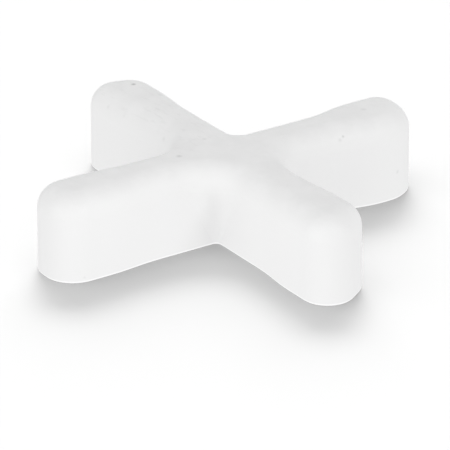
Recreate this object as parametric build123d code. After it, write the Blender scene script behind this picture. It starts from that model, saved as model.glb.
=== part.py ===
from build123d import *
from collections import namedtuple
from math import cos, radians, tan
import os

# Tile spacer: one moulded plastic cross, in millimetres and degrees.
# The underside lies on Z = 0, and the arms run out along X and Y from the origin.

# Plan sizes, measured on the underside
right_arm_reach = 9.6     # origin to the middle of the end, for the arm along +X
far_arm_reach = 9.55      # the arm along +Y
left_arm_reach = 9.4      # the arm along -X
near_arm_reach = 9.4      # the arm along -Y
right_arm_shift = 0.22    # the +X arm is moulded this far towards -Y
far_end_skew = 16.5       # the +Y arm's end is out of square, longer on its -X side
near_end_skew = 32.5      # the -Y arm's end is out of square, longer on its -X side
waist_width = 2.72        # the straight part of an arm beside the crossing
tip_width = 3.08          # the widest part of an arm, which sets the joint between tiles
right_tip_width = 3.45    # the +X arm's tip is moulded broader
tip_length = 2.3          # how far the full tip width runs back from the arm's end
flare_length = 2.8        # the stretch over which the waist widens to the tip
tip_radius = 1.4          # the plan corners of an end
tight_radius = 1.2        # the longer corner of a skewed end, and the +X end's far corner
broad_radius = 2.05       # the +X end's near corner
corner_share = 0.98       # the most of a side or an end that its rounded corners may take
crotch_radius = 0.2       # the inner corners between the arms

# Heights and edges
height = 3.94             # underside to the flat top
draft_angle = 0.5         # the side walls lean in towards the top
open_radius = 2.4         # three of the inner corners open out to this at the top
rim_radius = 1.05         # the rolled edge all round the top
foot_chamfer = 0.05       # the crisp edge round the underside

# Left and right are as seen from the crossing, looking out along the arm.
# The last entry is the rounding at the top of the inner corner on the arm's left.
Arm = namedtuple("Arm", "turn reach skew tip_width shift left_radius right_radius crotch_top")

arms = [
    Arm(0, right_arm_reach, 0, right_tip_width, -right_arm_shift, tight_radius, broad_radius, crotch_radius),
    Arm(90, far_arm_reach, far_end_skew, tip_width, 0, tight_radius, tip_radius, open_radius),
    Arm(180, left_arm_reach, 0, tip_width, 0, tip_radius, tip_radius, open_radius),
    Arm(270, near_arm_reach, -near_end_skew, tip_width, 0, tip_radius, tight_radius, open_radius),
]


def inset(z):
    """How far the draft has brought the walls in at height z."""
    return z * tan(radians(draft_angle))


def side_offset(arm, width, side, z):
    """Where a side of an arm along +X lies: side is 1 on its left and -1 on its right."""
    return arm.shift + side * (width / 2 - inset(z))


def end_corner(arm, side, z):
    """A sharp corner of an arm's end."""
    across = side_offset(arm, arm.tip_width, side, z)
    reach = arm.reach - inset(z) / cos(radians(arm.skew))
    return (reach + (across - arm.shift) * tan(radians(arm.skew)), across)


def flare_start(arm):
    """How far out an arm begins to widen."""
    return arm.reach - tip_length - flare_length


def arm_side(arm, side, z):
    """One long side of an arm: straight waist, S-shaped flare, straight tip."""
    waist = side_offset(arm, waist_width, side, z)
    tip = side_offset(arm, arm.tip_width, side, z)
    start = flare_start(arm)
    end = start + flare_length
    middle = (start + flare_length / 2, (waist + tip) / 2)
    return [
        Line((0, waist), (start, waist)),
        TangentArc((start, waist), middle, tangent=(1, 0)),
        TangentArc((end, tip), middle, tangent=(-1, 0)),
        Line((end, tip), end_corner(arm, side, z)),
    ]


def setback(arm, side):
    """How far from a sharp corner of an end its full rounding starts."""
    radius = arm.left_radius if side == 1 else arm.right_radius
    return radius * tan(radians(45 + side * arm.skew / 2))


def corner_radius(arm, side, z):
    """The rounding of one corner of an end, held to what its side and its end have room for."""
    radius = arm.left_radius if side == 1 else arm.right_radius
    end_width = arm.tip_width / cos(radians(arm.skew))
    end_room = corner_share * end_width / (setback(arm, 1) + setback(arm, -1))
    side_length = end_corner(arm, side, 0)[0] - (arm.reach - tip_length)
    side_room = corner_share * side_length / setback(arm, side)
    return radius * min(1, end_room, side_room) - inset(z)


def arm_plan(arm, z):
    """Plan of one arm along +X at height z, from the crossing to its rounded end."""
    roots = [(0, side_offset(arm, waist_width, side, z)) for side in (1, -1)]
    edges = arm_side(arm, 1, z) + arm_side(arm, -1, z)
    edges.append(Line(end_corner(arm, 1, z), end_corner(arm, -1, z)))
    edges.append(Line(*roots))
    plan = make_face(edges)
    for side in (1, -1):
        corner = plan.vertices().sort_by_distance(end_corner(arm, side, z))[0]
        plan = fillet(corner, corner_radius(arm, side, z))
    return plan


def inner_radius(arm, z):
    """The rounding of the inner corner on an arm's left, held to the straight waist's length."""
    waist_room = min(flare_start(other) for other in arms) - waist_width / 2 - right_arm_shift
    top_radius = min(arm.crotch_top, corner_share * waist_room)
    return crotch_radius + (top_radius - crotch_radius) * z / height


def cross_plan(z):
    """The four arms joined, with the inner corners between them rounded, at height z."""
    plan = Sketch() + [Rot(0, 0, arm.turn) * arm_plan(arm, z) for arm in arms]
    half_waist = waist_width / 2
    for arm in arms:
        inner_corner = Vector(half_waist, half_waist).rotate(Axis.Z, arm.turn)
        plan = fillet(plan.vertices().sort_by_distance(inner_corner)[0], inner_radius(arm, z))
    return Pos(0, 0, z) * plan


def spacer():
    """The cross with leaning walls, rolled top edge and crisp foot."""
    body = loft([cross_plan(0).face(), cross_plan(height).face()], ruled=True)
    body = fillet(body.faces().sort_by(Axis.Z)[-1].edges(), rim_radius)
    return chamfer(body.faces().sort_by(Axis.Z)[0].edges(), foot_chamfer)


os.makedirs("parts", exist_ok=True)
part = spacer()
part.label = "spacer"
export_step(part, "parts/spacer.step")
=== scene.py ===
from collections import namedtuple
from math import cos, radians, sin

import bpy
from mathutils import Matrix, Vector


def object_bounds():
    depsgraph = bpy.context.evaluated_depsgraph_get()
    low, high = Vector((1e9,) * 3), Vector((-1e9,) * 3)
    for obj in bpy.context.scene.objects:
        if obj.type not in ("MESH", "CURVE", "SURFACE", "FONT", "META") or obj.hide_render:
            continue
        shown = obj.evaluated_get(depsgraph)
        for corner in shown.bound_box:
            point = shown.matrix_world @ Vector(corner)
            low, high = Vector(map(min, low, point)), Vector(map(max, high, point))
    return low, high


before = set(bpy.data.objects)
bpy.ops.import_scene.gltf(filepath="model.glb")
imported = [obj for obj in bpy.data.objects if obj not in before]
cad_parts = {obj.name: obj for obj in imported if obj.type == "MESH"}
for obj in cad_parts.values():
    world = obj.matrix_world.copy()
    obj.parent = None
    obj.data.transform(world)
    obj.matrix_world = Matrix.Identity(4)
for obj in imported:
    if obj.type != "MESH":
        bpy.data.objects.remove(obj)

cad_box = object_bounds()

MM = 0.001

# The photograph's view
FRAME_PIXELS = 450
SENSOR_MM = 36.0
FOCAL_PIXELS = 3785.0
VIEW_TURN = radians(33.95)      # the camera stands this far to the left of the -Y axis
VIEW_TILT = radians(24.68)      # and this far above the floor
VIEW_DISTANCE = 167.26 * MM
AIM_RIGHT = -0.0394 * MM        # the picture's middle, from the crossing, across the view
AIM_UP = 0.019 * MM
CLIP_NEAR = 0.01                # metres
CLIP_FAR = 10

# The soft light from all round, a little stronger from the camera's side, its right and below
WORLD_STRENGTH = 0.815
WORLD_FROM_CAMERA = 0.102
WORLD_FROM_RIGHT = 0.057
WORLD_FROM_BELOW = 0.092
WHITE = 1.0

# Distant lamps. Way round is from the camera's side, positive to its right, and rise is above
# the floor. Soft is the lamp's width. All three are in degrees.
Lamp = namedtuple("Lamp", "name way_round rise soft energy")

PART_LAMPS = [
    Lamp("left_fill", -60, 10, 50, 0.39),
    Lamp("front_fill", -20, 10, 50, 0.14),
    Lamp("right_key", 55, 35, 16, 0.32),
]
FLOOR_LAMPS = [
    Lamp("back_key", 180, 45, 20, 1.54),
    Lamp("back_low", 180, 35, 50, 2.78),
    Lamp("left_side", -90, 55, 60, 0.69),
    Lamp("overhead", 0, 90, 60, 1.20),
]

# The light thrown back between the left and near arms, as from a small soft lamp there
BOUNCE_PLACE = Vector((-7.0, -7.0, 5.0)) * MM
BOUNCE_RADIUS = 3.0 * MM
BOUNCE_ENERGY = 8.4e-5

FLOOR_HALF = 1.5                # metres from its middle to its edge
FLOOR_COLOUR = 0.465

# The plastic
BODY_COLOUR = 0.86
ROUGHNESS = 0.5
TOP_FACING = (0.3, 0.9)         # how squarely a face looks up where the top begins and is in full
FOOT_HIGHLIGHT_COLOUR = 0.97              # painted highlight: a lighter band of colour along the crisp lower edge
FOOT_HIGHLIGHT_BAND = 0.08 * MM
FOOT_HIGHLIGHT_FADE = 1.5                 # the band has faded out at this many times its height

# Faint blotches on the top, and a fine grain all over
BLOTCH_SIZE = 0.9 * MM
BLOTCH_DETAIL = 3.0
BLOTCH_RANGE = (0.35, 0.65)     # the stretch of the noise's values that is used
BLOTCH_TONE = 0.012             # how much lighter and darker the blotches are
BLOTCH_SWELL = 0.006 * MM
GRAIN_SIZE = 0.12 * MM
GRAIN_DETAIL = 2.0
GRAIN_RANGE = (0.3, 0.7)
GRAIN_ROUGHNESS = 0.04
GRAIN_HEIGHT = 0.0006 * MM

# Short scuffs that run along the far arm's top
SCUFF_SIZE = 0.22 * MM
SCUFF_DETAIL = 3.0
SCUFF_STRETCH = (1.0, 0.3, 1.0)         # draws the noise out along Y
SCUFF_RANGE = (0.54, 0.72)
SCUFF_START = (-1.0 * MM, 1.5 * MM)     # they come in over this stretch of Y
SCUFF_TONE = 0.04
SCUFF_SHARE = 0.2               # how deep they are, as a share of a mark's depth

# Small moulding marks: where each is, its x, y, z and radius in millimetres, and how dark it is
Mark = namedtuple("Mark", "where x y z radius dark")

MARK_COLOUR = 0.45
MARK_DEPTH = 0.015 * MM
TOP = cad_box[1][2] / MM

MARKS = [
    Mark("far tip", 0.3, 7.95, TOP, 0.17, 0.9),
    Mark("left arm by the crossing", -2.45, 0, TOP, 0.2, 0.45),
    Mark("right arm's near rim", 5.3, -1.4, 3.5, 0.1, 0.45),
    Mark("beside it", 5.1, -1.45, 3.4, 0.15, 0.22),
    Mark("right tip", 7.25, -0.25, TOP, 0.2, 0.22),
    Mark("right arm's near wall", 8.0, -1.9, 1.3, 0.15, 0.22),
    Mark("far arm's left rim, at the tip", -1.4, 7.45, 3.4, 0.16, 0.14),
    Mark("far arm's left rim, at the middle", -1.35, 6.2, 3.4, 0.15, 0.1),
    Mark("far arm's left rim, at the waist", -1.25, 3.1, 3.35, 0.17, 0.14),
    Mark("crossing", -0.5, 0.95, TOP, 0.16, 0.25),
    Mark("far arm's top", 0.65, 6.3, 3.9, 0.14, 0.2),
    Mark("left arm's foot", -8.3, -1.5, 0.25, 0.1, 0.15),
]

# Painted shade: a faint darker band of colour in the inner corner between the left and near arms
CORNER_SHADE_SIDE = -0.1 * MM         # its middle, from the corner's diagonal towards the left arm
CORNER_SHADE_REACH = 0.6 * MM         # how far it spreads to each side
CORNER_SHADE_RISE = (2.2 * MM, 3.6 * MM)      # it fades out between these heights
CORNER_SHADE_START = (0.0, 1.0 * MM)  # it comes in over this stretch of the diagonal
CORNER_SHADE_TONE = 0.032


def flat_axes():
    """Right and ahead of the camera, along the floor."""
    return Vector((cos(VIEW_TURN), -sin(VIEW_TURN), 0)), Vector((sin(VIEW_TURN), cos(VIEW_TURN), 0))


def add_camera():
    """The photograph's camera."""
    right, flat_ahead = flat_axes()
    ahead = flat_ahead * cos(VIEW_TILT) - Vector((0, 0, sin(VIEW_TILT)))
    up = right.cross(ahead)
    data = bpy.data.cameras.new("camera")
    data.sensor_width = SENSOR_MM
    data.lens = FOCAL_PIXELS * SENSOR_MM / FRAME_PIXELS
    data.clip_start = CLIP_NEAR
    data.clip_end = CLIP_FAR
    camera = bpy.data.objects.new("camera", data)
    bpy.context.scene.collection.objects.link(camera)
    place = right * AIM_RIGHT + up * AIM_UP - ahead * VIEW_DISTANCE
    turn = Matrix((right, up, -ahead)).transposed()
    camera.matrix_world = Matrix.Translation(place) @ turn.to_4x4()
    bpy.context.scene.camera = camera


def towards(lamp):
    """The direction in which a lamp lies."""
    right, ahead = flat_axes()
    way_round = radians(lamp.way_round)
    level = right * sin(way_round) - ahead * cos(way_round)
    return level * cos(radians(lamp.rise)) + Vector((0, 0, sin(radians(lamp.rise))))


def add_light(name, kind, energy, lit):
    """A light of one kind for the objects of one collection."""
    light = bpy.data.objects.new(name, bpy.data.lights.new(name, kind))
    light.data.energy = energy
    light.light_linking.receiver_collection = lit
    bpy.context.scene.collection.objects.link(light)
    return light


def add_lamp(lamp, lit):
    """A soft distant lamp."""
    sun = add_light(lamp.name, "SUN", lamp.energy, lit)
    sun.data.angle = radians(lamp.soft)
    sun.rotation_euler = towards(lamp).to_track_quat("Z", "Y").to_euler()


def add_bounce(lit):
    """The light thrown back between the two arms in front."""
    bounce = add_light("bounce", "POINT", BOUNCE_ENERGY, lit)
    bounce.data.shadow_soft_size = BOUNCE_RADIUS
    bounce.location = BOUNCE_PLACE


def collection_of(name, thing):
    """A collection that only says what a lamp lights."""
    collection = bpy.data.collections.new(name)
    collection.objects.link(thing)
    return collection


class Nodes:
    """Short calls for adding nodes to one tree."""

    def __init__(self, tree):
        self.tree = tree

    def add(self, kind, settings=(), inputs=()):
        node = self.tree.nodes.new("ShaderNode" + kind)
        for name, value in dict(settings).items():
            setattr(node, name, value)
        for name, value in dict(inputs).items():
            self.put(value, node.inputs[name])
        return node

    def put(self, value, socket):
        if isinstance(value, bpy.types.NodeSocket):
            self.tree.links.new(value, socket)
        else:
            socket.default_value = value

    def math(self, operation, *values):
        return self.add("Math", {"operation": operation}, enumerate(values)).outputs[0]

    def times(self, first, second):
        return self.math("MULTIPLY", first, second)

    def plus(self, first, second):
        return self.math("ADD", first, second)

    def minus(self, first, second):
        return self.math("SUBTRACT", first, second)

    def larger(self, first, second):
        return self.math("MAXIMUM", first, second)

    def vector(self, operation, output, *values):
        return self.add("VectorMath", {"operation": operation}, enumerate(values)).outputs[output]

    def along(self, place, direction):
        """How far a place lies in one direction."""
        return self.vector("DOT_PRODUCT", "Value", place, direction)

    def axis(self, place, name):
        return self.add("SeparateXYZ", {}, {"Vector": place}).outputs[name]

    def blend(self, share, first, second):
        return self.add("Mix", {}, {"Factor": share, "A": first, "B": second}).outputs["Result"]

    def ramp(self, value, low, high, at_low=0.0, at_high=1.0):
        """Smooth change from at_low to at_high as a value goes from low to high."""
        settings = {"interpolation_type": "SMOOTHSTEP"}
        inputs = {"Value": value, "From Min": low, "From Max": high, "To Min": at_low, "To Max": at_high}
        return self.add("MapRange", settings, inputs).outputs["Result"]

    def noise(self, place, size, detail):
        """Noise with blotches of one size, in metres."""
        inputs = {"Vector": place, "Scale": 1 / size, "Detail": detail}
        return self.add("TexNoise", {}, inputs).outputs["Fac"]


def add_world():
    """Soft light from all round for the part, and plain white behind it and in its gloss."""
    world = bpy.data.worlds.new("world")
    bpy.context.scene.world = world
    world.use_nodes = True
    nodes = Nodes(world.node_tree)
    right, ahead = flat_axes()
    lean = right * WORLD_FROM_RIGHT - ahead * WORLD_FROM_CAMERA - Vector((0, 0, WORLD_FROM_BELOW))
    direction = nodes.add("TexCoord").outputs["Generated"]
    light = nodes.plus(nodes.along(direction, lean), WORLD_STRENGTH)
    ray = nodes.add("LightPath").outputs
    clear = nodes.larger(ray["Is Glossy Ray"], ray["Is Transmission Ray"])
    seen = nodes.larger(ray["Is Camera Ray"], clear)
    background = world.node_tree.nodes["Background"]
    background.inputs["Color"].default_value = (1, 1, 1, 1)
    nodes.put(nodes.blend(seen, light, WHITE), background.inputs["Strength"])


def add_floor():
    """A plain pale floor that shows the part's shadow. The world gives the part the light from below."""
    half = FLOOR_HALF
    corners = [(-half, -half, 0), (half, -half, 0), (half, half, 0), (-half, half, 0)]
    mesh = bpy.data.meshes.new("floor")
    mesh.from_pydata(corners, [], [(0, 1, 2, 3)])
    material = bpy.data.materials.new("floor")
    material.use_nodes = True
    shader = material.node_tree.nodes["Principled BSDF"]
    shader.inputs["Base Color"].default_value = (FLOOR_COLOUR, FLOOR_COLOUR, FLOOR_COLOUR, 1)
    shader.inputs["Roughness"].default_value = 1.0
    shader.inputs["Specular IOR Level"].default_value = 0.0
    mesh.materials.append(material)
    floor = bpy.data.objects.new("floor", mesh)
    bpy.context.scene.collection.objects.link(floor)
    floor.visible_diffuse = False
    floor.visible_glossy = False
    floor.visible_shadow = False
    return floor


def marks_mask(nodes, place):
    """How far each spot is inside a moulding mark, from 0 to 1."""
    mask = 0.0
    for mark in MARKS:
        centre = Vector((mark.x, mark.y, mark.z)) * MM
        away = nodes.vector("DISTANCE", "Value", place, centre)
        spot = nodes.ramp(away, 0.0, mark.radius * MM, mark.dark, 0.0)
        mask = nodes.larger(mask, spot)
    return mask


def scuffs_mask(nodes, place, top):
    """How far each spot is inside a scuff, from 0 to 1."""
    stretched = nodes.vector("MULTIPLY", "Vector", place, SCUFF_STRETCH)
    scuffs = nodes.ramp(nodes.noise(stretched, SCUFF_SIZE, SCUFF_DETAIL), *SCUFF_RANGE)
    far_arm = nodes.ramp(nodes.axis(place, "Y"), *SCUFF_START)
    return nodes.times(nodes.times(scuffs, top), far_arm)


def corner_shade_mask(nodes, place):
    """How far each spot is inside the painted shade in the front inner corner, from 0 to 1."""
    sideways = nodes.along(place, Vector((1, -1, 0)).normalized())
    outward = nodes.along(place, Vector((-1, -1, 0)).normalized())
    away = nodes.math("ABSOLUTE", nodes.minus(sideways, CORNER_SHADE_SIDE))
    across = nodes.ramp(away, 0.0, CORNER_SHADE_REACH, 1.0, 0.0)
    below = nodes.ramp(nodes.axis(place, "Z"), *CORNER_SHADE_RISE, 1.0, 0.0)
    return nodes.times(nodes.times(across, below), nodes.ramp(outward, *CORNER_SHADE_START))


def plastic_tone(nodes, place, top, blotches, scuffs, marks):
    """The grey value of each spot."""
    mottle = nodes.times(top, nodes.ramp(blotches, *BLOTCH_RANGE, -BLOTCH_TONE, BLOTCH_TONE))
    tone = nodes.plus(BODY_COLOUR, mottle)
    tone = nodes.minus(tone, nodes.times(scuffs, SCUFF_TONE))
    # painted shade in the front inner corner
    tone = nodes.minus(tone, nodes.times(corner_shade_mask(nodes, place), CORNER_SHADE_TONE))
    tone = nodes.blend(marks, tone, MARK_COLOUR)
    # painted highlight: a lighter band of colour along the foot
    foot = nodes.ramp(nodes.axis(place, "Z"), FOOT_HIGHLIGHT_BAND, FOOT_HIGHLIGHT_BAND * FOOT_HIGHLIGHT_FADE, 1.0, 0.0)
    return nodes.blend(foot, tone, FOOT_HIGHLIGHT_COLOUR)


def plastic_height(nodes, top, blotches, grain, scuffs, marks):
    """How high each spot stands out of the smooth surface, in metres."""
    swell = nodes.times(nodes.times(blotches, top), BLOTCH_SWELL)
    fine = nodes.times(grain, GRAIN_HEIGHT)
    dents = nodes.times(nodes.plus(marks, nodes.times(scuffs, SCUFF_SHARE)), MARK_DEPTH)
    return nodes.minus(nodes.plus(swell, fine), dents)


def plastic():
    """Satin white moulded plastic: smooth sides, faintly mottled and scuffed top."""
    material = bpy.data.materials.new("spacer_plastic")
    material.use_nodes = True
    nodes = Nodes(material.node_tree)
    shader = material.node_tree.nodes["Principled BSDF"]
    place = nodes.add("TexCoord").outputs["Object"]
    facing = nodes.add("NewGeometry").outputs["Normal"]
    top = nodes.ramp(nodes.axis(facing, "Z"), *TOP_FACING)
    blotches = nodes.noise(place, BLOTCH_SIZE, BLOTCH_DETAIL)
    grain = nodes.noise(place, GRAIN_SIZE, GRAIN_DETAIL)
    scuffs = scuffs_mask(nodes, place, top)
    marks = marks_mask(nodes, place)

    tone = plastic_tone(nodes, place, top, blotches, scuffs, marks)
    colour = nodes.add("CombineColor", {}, {"Red": tone, "Green": tone, "Blue": tone}).outputs["Color"]
    nodes.put(colour, shader.inputs["Base Color"])

    smoothest = ROUGHNESS - GRAIN_ROUGHNESS
    roughest = ROUGHNESS + GRAIN_ROUGHNESS
    nodes.put(nodes.ramp(grain, *GRAIN_RANGE, smoothest, roughest), shader.inputs["Roughness"])

    height = plastic_height(nodes, top, blotches, grain, scuffs, marks)
    bump = nodes.add("Bump", {}, {"Strength": 1.0, "Distance": 1.0, "Height": height})
    nodes.put(bump.outputs["Normal"], shader.inputs["Normal"])
    return material


add_camera()
add_world()
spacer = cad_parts["spacer"]
spacer.data.materials.clear()
spacer.data.materials.append(plastic())
floor = add_floor()

lit_part = collection_of("lit_part", spacer)
lit_floor = collection_of("lit_floor", floor)
for lamp in PART_LAMPS:
    add_lamp(lamp, lit_part)
add_bounce(lit_part)
for lamp in FLOOR_LAMPS:
    add_lamp(lamp, lit_floor)

bpy.context.scene.view_settings.view_transform = "Standard"
